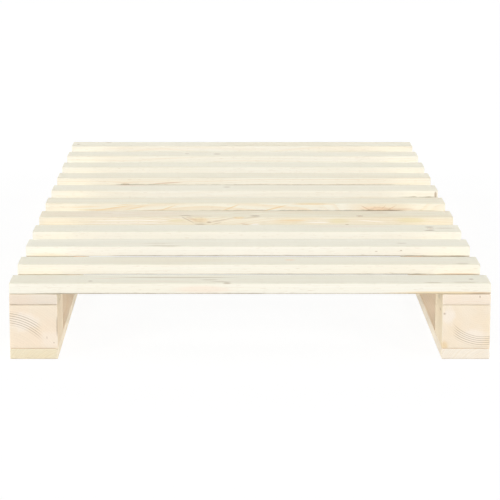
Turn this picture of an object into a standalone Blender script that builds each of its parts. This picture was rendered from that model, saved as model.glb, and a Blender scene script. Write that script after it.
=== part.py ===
"""Pallet bed frame in bare pine.

Eleven cross slats lie on a left and a right runner. A runner is a stringer board straight under
the slats, three blocks with their end grain to the foot end, and a skid board on the floor.
Every screw is driven from below, so no head shows on the top: a slat screw holds each slat to
each stringer, and long block screws go through skid board and block into the stringer.

+X is to the right as seen from the foot end, +Y runs from the foot end to the head end and +Z is
up. The origin is on the floor under the middle of the bed. All lengths are in metres.
"""

import math
from typing import NamedTuple

import bmesh
import bpy
from mathutils import Vector

# Bed
BED_WIDTH = 1.000
BED_LENGTH = 2.000

# Slats
SLAT_COUNT = 11
SLAT_WIDTH = 0.086
SLAT_THICKNESS = 0.023
SLAT_EDGE_RADIUS = 0.0020

# How far each slat lies from its even place, as a share of the gap between two slats. Front slat
# first, and positive towards the head end.
SLAT_LAY_SHARES = (0, 0.03, 0.12, 0, -0.06, -0.05, -0.06, 0, -0.07, 0, 0)

# Runners
RUNNER_WIDTH = 0.100
STRINGER_THICKNESS = 0.023
SKID_THICKNESS = 0.023
BLOCK_COUNT = 3
BLOCK_LENGTH = 0.150
BLOCK_HEIGHT = 0.092
BOARD_EDGE_RADIUS = 0.0020
BLOCK_EDGE_RADIUS = 0.0015

# Gap left between two pieces that rest on each other
SEAT_GAP = 0.0003

# Slat screws, 4 mm by 40 mm, one at each crossing of a slat and a stringer
SLAT_SCREW_HEAD_RADIUS = 0.0040
SLAT_SCREW_SHANK_RADIUS = 0.0020
SLAT_SCREW_BITE_SHARE = 0.75

# Block screws, 6 mm by 130 mm, two in each block on a diagonal
BLOCK_SCREW_HEAD_RADIUS = 0.0060
BLOCK_SCREW_SHANK_RADIUS = 0.0030
BLOCK_SCREW_BITE_SHARE = 0.65
BLOCK_SCREW_ALONG_SHARE = 0.30
BLOCK_SCREW_ACROSS_SHARE = 0.22

# What all the screws have in common, as shares of the head's or the shank's radius
SCREW_SINK = 0.0005
SCREW_CLEARANCE = 0.0003
HEAD_HEIGHT_SHARE = 0.75
HEAD_RIM_SHARE = 0.10
RECESS_RADIUS_SHARE = 0.48
RECESS_DEPTH_SHARE = 0.45
RECESS_VALLEY_SHARE = 0.72
TIP_LENGTH_SHARE = 3.0

# How far a cutter runs past the face that it opens
CUT_OVERRUN = 0.002

# Mesh detail
TURNED_SIDES = 12
EDGE_SEGMENTS = 2
SMOOTH_ANGLE = math.radians(40)

# Colours as seen on the wood and the zinc plate, in sRGB
PALE_PINE = (0.93, 0.91, 0.85)
CREAM_PINE = (0.95, 0.92, 0.85)
HONEY_PINE = (0.93, 0.88, 0.78)
END_GRAIN_PINE = (0.95, 0.90, 0.81)
SKID_PINE = (0.94, 0.89, 0.80)
ZINC_PLATE = (0.74, 0.75, 0.76)
SLAT_TONES = (CREAM_PINE, PALE_PINE, CREAM_PINE, PALE_PINE, HONEY_PINE, HONEY_PINE)
PINE_ROUGHNESS = 0.62
ZINC_ROUGHNESS = 0.32

# Heights of the layers, from the floor up
BLOCK_BOTTOM = SKID_THICKNESS + SEAT_GAP
STRINGER_BOTTOM = BLOCK_BOTTOM + BLOCK_HEIGHT + SEAT_GAP
SLAT_BOTTOM = STRINGER_BOTTOM + STRINGER_THICKNESS + SEAT_GAP

# Spacing of what repeats along the bed
SLAT_PITCH = (BED_LENGTH - SLAT_WIDTH) / (SLAT_COUNT - 1)
SLAT_GAP = SLAT_PITCH - SLAT_WIDTH
BLOCK_PITCH = (BED_LENGTH - BLOCK_LENGTH) / (BLOCK_COUNT - 1)


class Screw(NamedTuple):
    """A countersunk wood screw that points up, with its head's face at height zero."""

    head_radius: float
    shank_radius: float
    length: float

    def head_height(self):
        """Height of the countersunk head, from its face to the shank."""
        return self.head_radius * HEAD_HEIGHT_SHARE

    def head_rim(self):
        """Height of the head's short cylindrical rim."""
        return self.head_radius * HEAD_RIM_SHARE

    def tip_start(self):
        """Height at which the shank starts to taper to its point."""
        return self.length - self.shank_radius * TIP_LENGTH_SHARE


SLAT_SCREW = Screw(
    SLAT_SCREW_HEAD_RADIUS,
    SLAT_SCREW_SHANK_RADIUS,
    STRINGER_THICKNESS + SEAT_GAP + SLAT_THICKNESS * SLAT_SCREW_BITE_SHARE - SCREW_SINK,
)
BLOCK_SCREW = Screw(
    BLOCK_SCREW_HEAD_RADIUS,
    BLOCK_SCREW_SHANK_RADIUS,
    STRINGER_BOTTOM + STRINGER_THICKNESS * BLOCK_SCREW_BITE_SHARE - SCREW_SINK,
)


def clear_scene():
    """Remove every object that the new file starts with."""
    for old in list(bpy.data.objects):
        bpy.data.objects.remove(old, do_unlink=True)


def linear(colour):
    """Turn an sRGB colour into the linear one, with full alpha, that a shader takes."""
    return tuple(((channel + 0.055) / 1.055) ** 2.4 for channel in colour) + (1.0,)


def make_material(name, colour, roughness, metallic=0.0):
    """Make a Principled material of one colour."""
    material = bpy.data.materials.new(name)
    material.use_nodes = True
    shader = material.node_tree.nodes["Principled BSDF"]
    shader.inputs["Base Color"].default_value = linear(colour)
    shader.inputs["Roughness"].default_value = roughness
    shader.inputs["Metallic"].default_value = metallic
    return material


def make_group(name, parent=None, location=(0, 0, 0)):
    """Make an empty that carries the pieces of one sub-assembly."""
    group = bpy.data.objects.new(name, None)
    bpy.context.scene.collection.objects.link(group)
    group.parent = parent
    group.location = location
    return group


def make_piece(name, mesh, parent, location, colour, roughness, metallic=0.0):
    """Place a mesh as a named piece with a material of its own."""
    piece = bpy.data.objects.new(name, mesh)
    bpy.context.scene.collection.objects.link(piece)
    piece.parent = parent
    piece.location = location
    mesh.materials.append(make_material(name + "_finish", colour, roughness, metallic))
    return piece


def board_mesh(name, size):
    """Make a sharp-edged board of the given size, standing on its own origin."""
    shape = bmesh.new()
    bmesh.ops.create_cube(shape, size=1)
    bmesh.ops.scale(shape, vec=Vector(size), verts=shape.verts)
    bmesh.ops.translate(shape, vec=(0, 0, size[2] / 2), verts=shape.verts)
    mesh = bpy.data.meshes.new(name)
    shape.to_mesh(mesh)
    shape.free()
    return mesh


def ease_edges(piece, radius):
    """Round the edges of a board, as the planer and the sander leave them."""
    bevel = piece.modifiers.new("eased_edges", "BEVEL")
    bevel.width = radius
    bevel.segments = EDGE_SEGMENTS
    bevel.limit_method = "NONE"


def bore(piece, cutter):
    """Cut the clearance holes of a set of screws out of a piece."""
    cut = piece.modifiers.new(cutter.name, "BOOLEAN")
    cut.operation = "DIFFERENCE"
    cut.solver = "EXACT"
    cut.object = cutter


def add_turned_body(shape, profile, place, lobed=()):
    """Turn a profile about a vertical axis into a closed body.

    The profile is a list of (radius, height) points that starts and ends on the axis. The rings
    whose indices are in lobed get a six-lobed star outline.
    """
    rings = []
    for index, (radius, height) in enumerate(profile):
        if radius == 0:
            rings.append([shape.verts.new(place + Vector((0, 0, height)))])
            continue
        ring = []
        for side in range(TURNED_SIDES):
            angle = math.tau * side / TURNED_SIDES
            valley = index in lobed and side % 2 == 1
            reach = radius * RECESS_VALLEY_SHARE if valley else radius
            offset = Vector((reach * math.cos(angle), reach * math.sin(angle), height))
            ring.append(shape.verts.new(place + offset))
        rings.append(ring)
    for lower, upper in zip(rings, rings[1:]):
        for side in range(TURNED_SIDES):
            after = side + 1
            corners = (
                lower[side % len(lower)],
                lower[after % len(lower)],
                upper[after % len(upper)],
                upper[side % len(upper)],
            )
            shape.faces.new(dict.fromkeys(corners))
    bmesh.ops.recalc_face_normals(shape, faces=shape.faces)


def screw_mesh(name, screw):
    """Make a countersunk screw with a six-lobed drive recess in its head."""
    recess_radius = screw.head_radius * RECESS_RADIUS_SHARE
    profile = (
        (0, screw.head_radius * RECESS_DEPTH_SHARE),
        (recess_radius, screw.head_radius * RECESS_DEPTH_SHARE),
        (recess_radius, 0),
        (screw.head_radius, 0),
        (screw.head_radius, screw.head_rim()),
        (screw.shank_radius, screw.head_height()),
        (screw.shank_radius, screw.tip_start()),
        (0, screw.length),
    )
    shape = bmesh.new()
    add_turned_body(shape, profile, Vector(), lobed=(1, 2))
    mesh = bpy.data.meshes.new(name)
    shape.to_mesh(mesh)
    shape.free()
    mesh.shade_smooth()
    mesh.set_sharp_from_angle(angle=SMOOTH_ANGLE)
    return mesh


def make_screw_cutter(name, screw, places):
    """Make the clearance bodies of several screws as one hidden cutter.

    A body follows its screw from below the sunk head to the tip, and so leaves a countersunk
    hole, a clearance hole or a blind pilot hole in whatever the screw passes through.
    """
    mouth = -SCREW_SINK - CUT_OVERRUN
    profile = (
        (0, mouth),
        (screw.head_radius + SCREW_CLEARANCE, mouth),
        (screw.head_radius + SCREW_CLEARANCE, screw.head_rim()),
        (screw.shank_radius + SCREW_CLEARANCE, screw.head_height()),
        (screw.shank_radius + SCREW_CLEARANCE, screw.tip_start() + SCREW_CLEARANCE),
        (0, screw.length + SCREW_CLEARANCE),
    )
    shape = bmesh.new()
    for place in places:
        add_turned_body(shape, profile, Vector(place))
    mesh = bpy.data.meshes.new(name)
    shape.to_mesh(mesh)
    shape.free()
    cutter = bpy.data.objects.new(name, mesh)
    bpy.context.scene.collection.objects.link(cutter)
    cutter.hide_render = True
    cutter.display_type = "WIRE"
    return cutter


def slat_lay(index):
    """How far a slat lies from its even place. The first and the last one end the bed flush."""
    if index in (0, SLAT_COUNT - 1):
        return 0
    return SLAT_GAP * SLAT_LAY_SHARES[index % len(SLAT_LAY_SHARES)]


def slat_centres():
    """Positions along the bed of the slats' centre lines, front slat first."""
    first = (SLAT_WIDTH - BED_LENGTH) / 2
    return [first + SLAT_PITCH * index + slat_lay(index) for index in range(SLAT_COUNT)]


def block_centres():
    """Positions along the bed of the blocks' centres, front block first."""
    first = (BLOCK_LENGTH - BED_LENGTH) / 2
    return [first + BLOCK_PITCH * index for index in range(BLOCK_COUNT)]


class Runner:
    """One side of the bed: skid board, blocks, stringer board and all their screws."""

    def __init__(self, side, direction, bed):
        """Set the runner up on the side that direction points to, -1 for left or 1 for right."""
        self.side = side
        self.centre_x = direction * (BED_WIDTH - RUNNER_WIDTH) / 2
        self.group = make_group(side + "_runner", bed, (self.centre_x, 0, 0))
        across = direction * RUNNER_WIDTH * BLOCK_SCREW_ACROSS_SHARE
        along = BLOCK_LENGTH * BLOCK_SCREW_ALONG_SHARE
        self.slat_screw_places = [
            (0, centre, STRINGER_BOTTOM + SCREW_SINK) for centre in slat_centres()
        ]
        self.block_screw_places = [
            (across * sign, centre + along * sign, SCREW_SINK)
            for centre in block_centres()
            for sign in (-1, 1)
        ]
        self.slat_screw_cutter = self.make_cutter("slat", SLAT_SCREW, self.slat_screw_places)
        self.block_screw_cutter = self.make_cutter("block", BLOCK_SCREW, self.block_screw_places)

    def make_cutter(self, use, screw, places):
        """Make the cutter for one kind of screw, carried by the runner's group."""
        cutter = make_screw_cutter(f"{self.side}_{use}_screw_holes", screw, places)
        cutter.parent = self.group
        return cutter

    def build_skid_board(self):
        """Make the board that lies on the floor."""
        name = self.side + "_skid_board"
        mesh = board_mesh(name, (RUNNER_WIDTH, BED_LENGTH, SKID_THICKNESS))
        board = make_piece(name, mesh, self.group, (0, 0, 0), SKID_PINE, PINE_ROUGHNESS)
        ease_edges(board, BOARD_EDGE_RADIUS)
        bore(board, self.block_screw_cutter)

    def build_stringer(self):
        """Make the board that the slats lie on."""
        name = self.side + "_stringer"
        mesh = board_mesh(name, (RUNNER_WIDTH, BED_LENGTH, STRINGER_THICKNESS))
        place = (0, 0, STRINGER_BOTTOM)
        board = make_piece(name, mesh, self.group, place, CREAM_PINE, PINE_ROUGHNESS)
        ease_edges(board, BOARD_EDGE_RADIUS)
        bore(board, self.slat_screw_cutter)
        bore(board, self.block_screw_cutter)

    def build_blocks(self):
        """Make the blocks between the skid board and the stringer."""
        for number, centre in enumerate(block_centres(), start=1):
            name = f"{self.side}_block_{number}"
            mesh = board_mesh(name, (RUNNER_WIDTH, BLOCK_LENGTH, BLOCK_HEIGHT))
            place = (0, centre, BLOCK_BOTTOM)
            block = make_piece(name, mesh, self.group, place, END_GRAIN_PINE, PINE_ROUGHNESS)
            ease_edges(block, BLOCK_EDGE_RADIUS)
            bore(block, self.block_screw_cutter)

    def build_screws(self, use, screw, places):
        """Make the screws of one kind, numbered from the front."""
        for number, place in enumerate(places, start=1):
            name = f"{self.side}_{use}_screw_{number:02d}"
            mesh = screw_mesh(name, screw)
            make_piece(name, mesh, self.group, place, ZINC_PLATE, ZINC_ROUGHNESS, metallic=1.0)

    def build(self):
        """Make every piece of the runner."""
        self.build_skid_board()
        self.build_blocks()
        self.build_stringer()
        self.build_screws("slat", SLAT_SCREW, self.slat_screw_places)
        self.build_screws("block", BLOCK_SCREW, self.block_screw_places)


def build_slats(bed, runners):
    """Make the cross slats and bore their pilot holes over each runner."""
    for number, centre in enumerate(slat_centres(), start=1):
        name = f"slat_{number:02d}"
        mesh = board_mesh(name, (BED_WIDTH, SLAT_WIDTH, SLAT_THICKNESS))
        tone = SLAT_TONES[(number - 1) % len(SLAT_TONES)]
        slat = make_piece(name, mesh, bed, (0, centre, SLAT_BOTTOM), tone, PINE_ROUGHNESS)
        ease_edges(slat, SLAT_EDGE_RADIUS)
        for runner in runners:
            bore(slat, runner.slat_screw_cutter)


def main():
    """Build the bed."""
    clear_scene()
    bed = make_group("pallet_bed")
    runners = [Runner("left", -1, bed), Runner("right", 1, bed)]
    for runner in runners:
        runner.build()
    build_slats(bed, runners)


main()
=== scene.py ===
"""Looks of the pallet bed: bare planed pine, zinc-plated screws and a pale studio.

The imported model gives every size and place. Each board, block and screw is modelled again with
eased edges and bores, dressed in solid pine whose growth rings run right through the piece, and
then stands for its node. Places on a board are metres from its middle: along its grain, across
it and up. A tone is written as it shows on a screen.
"""

import logging
import math
from dataclasses import dataclass, field, replace
from enum import Enum
from functools import partial, partialmethod, reduce
from typing import Callable

import bmesh
import bpy
from bpy.types import Material, Node, NodeSocket, NodeTree, Object
from mathutils import Matrix, Vector


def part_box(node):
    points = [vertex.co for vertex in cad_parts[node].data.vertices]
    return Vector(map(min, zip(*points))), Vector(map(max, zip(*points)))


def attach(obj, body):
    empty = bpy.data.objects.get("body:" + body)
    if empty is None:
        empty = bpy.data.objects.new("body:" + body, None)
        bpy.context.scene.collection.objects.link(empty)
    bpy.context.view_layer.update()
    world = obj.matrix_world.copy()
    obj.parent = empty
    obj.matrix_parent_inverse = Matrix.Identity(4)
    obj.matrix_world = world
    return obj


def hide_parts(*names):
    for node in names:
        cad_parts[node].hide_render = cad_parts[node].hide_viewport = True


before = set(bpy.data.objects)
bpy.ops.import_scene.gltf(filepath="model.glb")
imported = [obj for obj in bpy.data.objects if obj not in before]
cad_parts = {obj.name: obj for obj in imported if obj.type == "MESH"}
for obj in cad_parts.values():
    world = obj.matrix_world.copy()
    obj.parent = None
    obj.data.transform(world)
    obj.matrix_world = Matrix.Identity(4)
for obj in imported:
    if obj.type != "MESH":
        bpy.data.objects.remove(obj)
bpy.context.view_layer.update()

log = logging.getLogger("pallet_bed")

Colour = tuple[float, float, float]
Point = tuple[float, float, float]

CROSS_SECTION: Point = (0.0, 1.0, 1.0)
SRGB_LIFT = 0.055
SRGB_POWER = 2.4

PALE: Colour = (0.958, 0.943, 0.890)
CREAM: Colour = (0.955, 0.936, 0.875)
WARM: Colour = (0.950, 0.922, 0.850)
HONEY: Colour = (0.935, 0.895, 0.805)
PINK: Colour = (0.955, 0.905, 0.840)
AMBER: Colour = (0.930, 0.845, 0.690)
RUST: Colour = (0.820, 0.690, 0.570)
DUSK: Colour = (0.800, 0.750, 0.660)
MARK: Colour = (0.640, 0.530, 0.410)
BLUSH: Colour = (0.985, 0.960, 0.925)
BLOOM: Colour = (0.970, 0.870, 0.760)
STRAW: Colour = (0.905, 0.865, 0.715)


def linear(tone: Colour) -> tuple[float, ...]:
    """Turn a tone into the linear colour that a shader takes, with full alpha."""
    lifted = [(channel + SRGB_LIFT) / (1.0 + SRGB_LIFT) for channel in tone]
    return tuple(channel**SRGB_POWER for channel in lifted) + (1.0,)


class Grain(Enum):
    """Which way the fibres of a piece run, as the number of the bed's axis."""

    ACROSS_BED = 0
    ALONG_BED = 1


class Cut(Enum):
    """How a piece was sawn from the log, as the place of the pith across and up."""

    FLAT = (0.012, -0.085)
    FLAT_DEEP = (-0.016, -0.150)
    RIFT = (-0.070, -0.075)
    RIFT_STEEP = (0.085, -0.050)
    QUARTER = (-0.120, -0.018)
    LEFT_FRONT_BLOCK = (0.067, -0.105)
    RIGHT_FRONT_BLOCK = (-0.035, 0.063)
    MIDDLE_BLOCK = (0.030, -0.040)
    REAR_BLOCK = (0.060, -0.060)


class Branch(Enum):
    """Which way the branch of a knot runs through a board lying flat."""

    SIDEWAYS = (0.08, -1.0, 0.15)
    UPRIGHT = (0.05, 0.12, 1.0)


class Arris(Enum):
    """One long arris of a board: the signs of its places across and up."""

    LOWER_FRONT = (0.0, -1.0, -1.0)
    UPPER_BACK = (0.0, 1.0, 1.0)


@dataclass
class ShaderGraph:
    """A node tree that is written as a series of short calls."""

    tree: NodeTree

    # Numbers of the Mix node's sockets for colours: factor, first, second, and the result.
    COLOUR_INPUTS = (0, 6, 7)
    COLOUR_OUTPUT = 2

    def node(self, kind: str, *values: "Feed", **named: object) -> Node:
        """Add a shader node, set its properties and feed its inputs.

        Args:
            kind: The node's type.
            *values: What its first inputs take, in order.
            **named: Properties in lower case, and inputs with a capital and _ for each space.

        Returns:
            The new node.
        """
        made = self.tree.nodes.new("ShaderNode" + kind)
        for name, value in named.items():
            if name[0].islower():
                setattr(made, name, value)
            else:
                self.feed(made.inputs[name.replace("_", " ")], value)
        for socket, value in zip(made.inputs, values):
            self.feed(socket, value)
        return made

    def value(self, kind: str, *values: "Feed", **named: object) -> "Value":
        """Add a shader node in the same way and return its first output."""
        return Value(self.node(kind, *values, **named).outputs[0])

    def feed(self, socket: NodeSocket, value: "Feed") -> None:
        """Link a value to a socket, or set the socket to a plain number or tuple.

        Args:
            socket: The input to feed.
            value: The value, number or tuple.
        """
        if isinstance(value, Value):
            self.tree.links.new(value.socket, socket)
        else:
            socket.default_value = value

    def mix(self, factor: "Feed", first: "Feed", second: "Feed", blend: str = "MIX") -> "Value":
        """Mix two colours, each a value or a tone.

        Args:
            factor: Share of the second colour.
            first: The colour at factor zero.
            second: The colour at factor one.
            blend: Blender's name of the way the colours mix.

        Returns:
            The mixed colour.
        """
        made = self.node("Mix", data_type="RGBA", blend_type=blend)
        for number, value in zip(self.COLOUR_INPUTS, (factor, first, second)):
            self.feed(made.inputs[number], linear(value) if isinstance(value, tuple) else value)
        return Value(made.outputs[self.COLOUR_OUTPUT])


@dataclass(frozen=True)
class Value:
    """A number or vector that varies over a surface, for use in Python's arithmetic."""

    socket: NodeSocket

    @property
    def graph(self) -> ShaderGraph:
        """Return the graph that the value belongs to."""
        return ShaderGraph(self.socket.id_data)

    @property
    def is_vector(self) -> bool:
        """Tell whether the value is a vector."""
        return self.socket.type in ("VECTOR", "RGBA")

    def apply(self, operation: str, *values: "Feed") -> "Value":
        """Put values through a Math node, or a Vector Math node where this is a vector.

        Args:
            operation: Blender's name of what the node does.
            *values: The values, in the order of the node's inputs.

        Returns:
            What the node makes of them.
        """
        kind = "VectorMath" if self.is_vector else "Math"
        made = self.graph.node(kind, *values, operation=operation)
        gives_vector = self.is_vector and operation not in ("LENGTH", "DOT_PRODUCT")
        return Value(made.outputs["Vector" if gives_vector else "Value"])

    def through(self, operation: str, *others: "Feed") -> "Value":
        """Put this value, and others after it, through such a node."""
        return self.apply(operation, self, *others)

    __add__ = partialmethod(through, "ADD")
    __sub__ = partialmethod(through, "SUBTRACT")
    __truediv__ = partialmethod(through, "DIVIDE")
    __abs__ = partialmethod(through, "ABSOLUTE")
    fit = partialmethod(through, "MULTIPLY_ADD")
    most = partialmethod(through, "MAXIMUM")
    least = partialmethod(through, "MINIMUM")
    length = partialmethod(through, "LENGTH")

    def __rsub__(self, other: "Feed") -> "Value":
        """Take this value from a plain one."""
        return self.apply("SUBTRACT", other, self)

    def __mul__(self, other: "Feed") -> "Value":
        """Multiply by another value, or scale a vector by a number that varies."""
        scales = self.is_vector and isinstance(other, Value) and not other.is_vector
        return other.scaled(self) if scales else self.through("MULTIPLY", other)

    def scaled(self, vector: "Feed") -> "Value":
        """Scale a vector by this number."""
        return self.graph.value("VectorMath", vector, operation="SCALE", Scale=self)

    def split(self) -> list["Value"]:
        """Split a vector into its three numbers."""
        return [Value(number) for number in self.graph.node("SeparateXYZ", self).outputs]

    def noise(self, waves: Point, detail: float = 2.0) -> "Value":
        """Return a noise of so many waves per metre along each direction."""
        return self.graph.value("TexNoise", Vector=self * waves, Scale=1.0, Detail=detail)

    def line_noise(self, waves: float, detail: float = 2.0, output: int | str = 0) -> "Value":
        """Return a noise along a number, of so many waves per metre."""
        named = {"noise_dimensions": "1D", "W": self, "Scale": waves, "Detail": detail}
        return Value(self.graph.node("TexNoise", **named).outputs[output])

    def ramp(self, low: float, high: float, start: float = 0.0, end: float = 1.0) -> "Value":
        """Return a smooth step between two bounds of the value, from a start to an end."""
        bounds = {"From_Min": low, "From_Max": high, "To_Min": start, "To_Max": end}
        return self.graph.value("MapRange", self, interpolation_type="SMOOTHSTEP", **bounds)

    def fall(self, low: float, high: float) -> "Value":
        """Return a smooth step between two bounds of the value, from one down to zero."""
        return self.ramp(low, high, 1.0, 0.0)

    def bump(self, strength: float, distance: float) -> "Value":
        """Return the normal of a surface that this height raises."""
        return self.graph.value("Bump", Strength=strength, Distance=distance, Height=self)


Feed = Value | float | tuple


class Effect:
    """A shader node group with named inputs and outputs, built once and placed in materials."""

    NAME = "effect"
    VECTORS: tuple[str, ...] = ("Vector",)
    NUMBERS: tuple[str, ...] = ()
    GIVES: tuple[str, ...] = ("Mask",)

    def __init__(self) -> None:
        """Make the group's tree and its sockets, and draw the effect between them."""
        self.tree = bpy.data.node_groups.new(self.NAME, "ShaderNodeTree")
        for names, way, kind in (
            (self.VECTORS, "INPUT", "NodeSocketVector"),
            (self.NUMBERS, "INPUT", "NodeSocketFloat"),
            (self.GIVES, "OUTPUT", "NodeSocketFloat"),
        ):
            for name in names:
                self.tree.interface.new_socket(name, in_out=way, socket_type=kind)
        entry = self.tree.nodes.new("NodeGroupInput")
        self.given = [Value(entry.outputs[name]) for name in self.VECTORS + self.NUMBERS]
        self.end = self.tree.nodes.new("NodeGroupOutput")
        self.draw()

    def draw(self) -> None:
        """Draw the effect from self.given, and send out what it makes with self.give."""

    def give(self, *values: Value) -> None:
        """Send values out, in the order of the outputs' names."""
        for socket, value in zip(self.end.inputs, values):
            ShaderGraph(self.tree).feed(socket, value)

    def place(self, vector: Value, **inputs: Feed) -> dict[str, Value]:
        """Place the group in a vector's tree and return its outputs by name."""
        made = vector.graph.node("Group", node_tree=self.tree, Vector=vector, **inputs)
        return {name: Value(made.outputs[name]) for name in self.GIVES}


class GrowthRings(Effect):
    """Cones of pale and dark wood round a wandering pith, strongest in one clear band."""

    NAME = "growth rings"
    NUMBERS = (
        "Seed", "Ring Width", "Wander", "Taper", "Swell", "Sharpness", "Evenness",
        "Clear Radius", "Clear Spread", "Clear Reach", "Quiet",
    )
    GIVES = ("Latewood", "Ring Tone")

    SEED_STEP = (5.1, 1.7, 2.3)
    BEND_SEED, PACE_SEED, YEAR_SEED = 5.1, 0.37, 7.3
    BEND_NOISE = (1.7, 1.5, "Color")
    WOBBLE_WAVES = (3.5, 22.0, 22.0)
    WOBBLE_SHARE, WOBBLE_MOST = 0.34, 0.0055
    PACE_WAVES, PACE_REACH = 55.0, 2.93
    DARKEST, DROP = 0.90, 0.93
    BAND_FADE, SIDE_FADE = (0.7, 1.4), (0.85, 1.10)

    def draw(self) -> None:
        """Draw the rings."""
        place, seed, width, wander, taper, swell, sharp, even, middle, spread, reach, quiet = self.given
        along, side, _ = place.split()
        sway = seed.fit(self.BEND_SEED, along).line_noise(*self.BEND_NOISE) - (0.5, 0.5, 0.5)
        radius = ((place + sway * wander) * CROSS_SECTION).length()
        wobble = (place + seed.scaled(self.SEED_STEP)).noise(self.WOBBLE_WAVES) - 0.5
        radius = radius + wobble * (wander * self.WOBBLE_SHARE).least(self.WOBBLE_MOST)
        radius = radius - along * taper + swell
        pace = seed.fit(self.PACE_SEED, radius).line_noise(self.PACE_WAVES)
        count = radius / width + pace * even.fit(-self.PACE_REACH, self.PACE_REACH)
        phase = count.through("FRACT")
        number = seed.fit(self.YEAR_SEED, count.through("FLOOR"))
        year = place.graph.value("TexWhiteNoise", noise_dimensions="1D", W=number)
        rise = (phase - sharp) / (self.DARKEST - sharp)
        dark = rise.ramp(0.0, 1.0) * phase.fall(self.DROP, 1.0) * year.most(even)
        away = abs((radius - middle) / spread)
        clear = away.fall(*self.BAND_FADE) * (abs(side) / reach).fall(*self.SIDE_FADE)
        self.give(dark * clear.most(quiet), year)


class PineFibre(Effect):
    """Fine fibre streaks, broad tone drifts and short dark resin ducts."""

    NAME = "pine fibre"
    GIVES = ("Streak", "Drift", "Ducts")

    FINE_WAVES = (22.0, 1100.0, 1100.0)
    COARSE_WAVES = (5.0, 210.0, 210.0)
    DRIFT_WAVES = (2.6, 17.0, 17.0)
    DUCT_WAVES = (60.0, 1500.0, 1500.0)
    FINE_SHARE, COARSE_SHARE = 0.55, 0.45
    DUCT_STEP = (0.735, 0.80)

    def draw(self) -> None:
        """Draw the fibres."""
        (place,) = self.given
        coarse = place.noise(self.COARSE_WAVES) * self.COARSE_SHARE
        streak = place.noise(self.FINE_WAVES, detail=3.0).fit(self.FINE_SHARE, coarse)
        ducts = place.noise(self.DUCT_WAVES, detail=0.0).ramp(*self.DUCT_STEP)
        self.give(streak, place.noise(self.DRIFT_WAVES), ducts)


class BranchKnot(Effect):
    """A branch that runs through the board along a direction, and swells the rings by it."""

    NAME = "branch knot"
    VECTORS = ("Vector", "Centre", "Direction", "Shape")
    NUMBERS = ("Radius",)
    GIVES = ("Core", "Rim", "Rays", "Swell")

    RAGGED_WAVES, RAGGED_FIT = (160.0, 240.0, 240.0), (0.5, 0.75)
    CORE_FADE = (0.35, 1.10)
    RIM_FADE = (0.0, 0.28)
    RAY_WAVES = 19.0
    SWELL_SHAPE = (3.2, 1.5, 1.5)
    SWELL_FADE = (0.2, 2.2)

    def draw(self) -> None:
        """Draw the knot."""
        place, centre, direction, shape, radius = self.given
        offset = place - centre
        depth = offset.through("DOT_PRODUCT", direction)
        offset = (offset - direction * depth) / shape
        ragged = place.noise(self.RAGGED_WAVES).fit(*self.RAGGED_FIT)
        edge = offset.length() / radius * ragged
        rays = (edge * self.RAY_WAVES).through("SINE").fit(0.5, 0.5)
        swell = ((offset / self.SWELL_SHAPE).length() / radius).fall(*self.SWELL_FADE)
        rim = abs(edge - 1.0).fall(*self.RIM_FADE)
        self.give(edge.fall(*self.CORE_FADE), rim, rays, swell)


class TonePatch(Effect):
    """A soft streak or patch of another tone, broken up along the grain."""

    NAME = "tone patch"
    VECTORS = ("Vector", "Centre", "Reach")
    NUMBERS = ("Lean",)

    RIPPLE_WAVES, RIPPLE_FIT = (9.0, 70.0, 70.0), (1.1, 0.45)
    FADE = (0.35, 1.05)

    def draw(self) -> None:
        """Draw the patch."""
        place, centre, reach, lean = self.given
        offset = place - centre
        climb = place.graph.value("CombineXYZ", 0.0, 0.0, offset.split()[0] * lean)
        ripple = place.noise(self.RIPPLE_WAVES).fit(*self.RIPPLE_FIT)
        far = ((offset - climb) / reach).length() * ripple
        self.give(far.fall(*self.FADE))


class EasedEdgeAndFootShade(Effect):
    """A board's eased edges, and painted shade along the arrises at its foot."""

    NAME = "eased edge"
    VECTORS = ("Vector", "Half Size")
    GIVES = ("Mask", "Foot")

    ROUGH_WAVES, ROUGH_FIT = (90.0, 90.0, 90.0), (1.6, 0.2)
    EDGE_FADE = (0.0008, 0.0032)
    FOOT_SHADE_ROUGH = 0.0016
    FOOT_SHADE_FADE = (0.0006, 0.0026)
    PATCHY_WAVES = (7.0, 30.0, 30.0)
    PATCHY_STEP = (0.30, 0.60, 0.45)

    def draw(self) -> None:
        """Draw the edges and the painted shade at the foot."""
        place, half = self.given
        ends, sides, faces = (half - abs(place)).split()
        nearest = ends.most(sides).least(sides.most(faces)).least(ends.most(faces))
        rough = place.noise(self.ROUGH_WAVES, detail=3.0)
        mask = (nearest * rough.fit(*self.ROUGH_FIT)).fall(*self.EDGE_FADE)
        # Painted shade: the arrises along the board's foot are darkened, where shade falls under it.
        foot = ends.least(sides).most((place + half).split()[2])
        foot = foot + rough.fit(self.FOOT_SHADE_ROUGH, -self.FOOT_SHADE_ROUGH / 2)
        patchy = place.noise(self.PATCHY_WAVES).ramp(*self.PATCHY_STEP)
        self.give(mask, foot.fall(*self.FOOT_SHADE_FADE) * patchy)


class PaintedArrisShade(Effect):
    """Painted shade: a brown, furred stretch along one long arris of a board, where boards meet in
    shadow.
    """

    NAME = "waney arris"
    VECTORS = ("Vector", "Half Size", "Side", "Reach")
    NUMBERS = ("Start", "End")

    RAGGED_WAVES, RAGGED = (60.0, 120.0, 120.0), 0.7
    FADE = (0.75, 1.15)
    END_STEP = (-0.01, 0.03)
    PATCHY_WAVES = (11.0, 8.0, 8.0)
    PATCHY_STEP = (0.32, 0.58, 0.55)

    def draw(self) -> None:
        """Draw the stretch of painted shade."""
        place, half, side, reach, start, end = self.given
        _, across, up = ((half - place * side) / reach).split()
        ragged = place.noise(self.RAGGED_WAVES, detail=3.0).fit(self.RAGGED, -self.RAGGED / 2)
        along = place.split()[0]
        inside = (along - start).least(end - along).ramp(*self.END_STEP)
        inside = inside * place.noise(self.PATCHY_WAVES).ramp(*self.PATCHY_STEP)
        self.give((across.most(up) + ragged).fall(*self.FADE) * inside)


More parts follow.
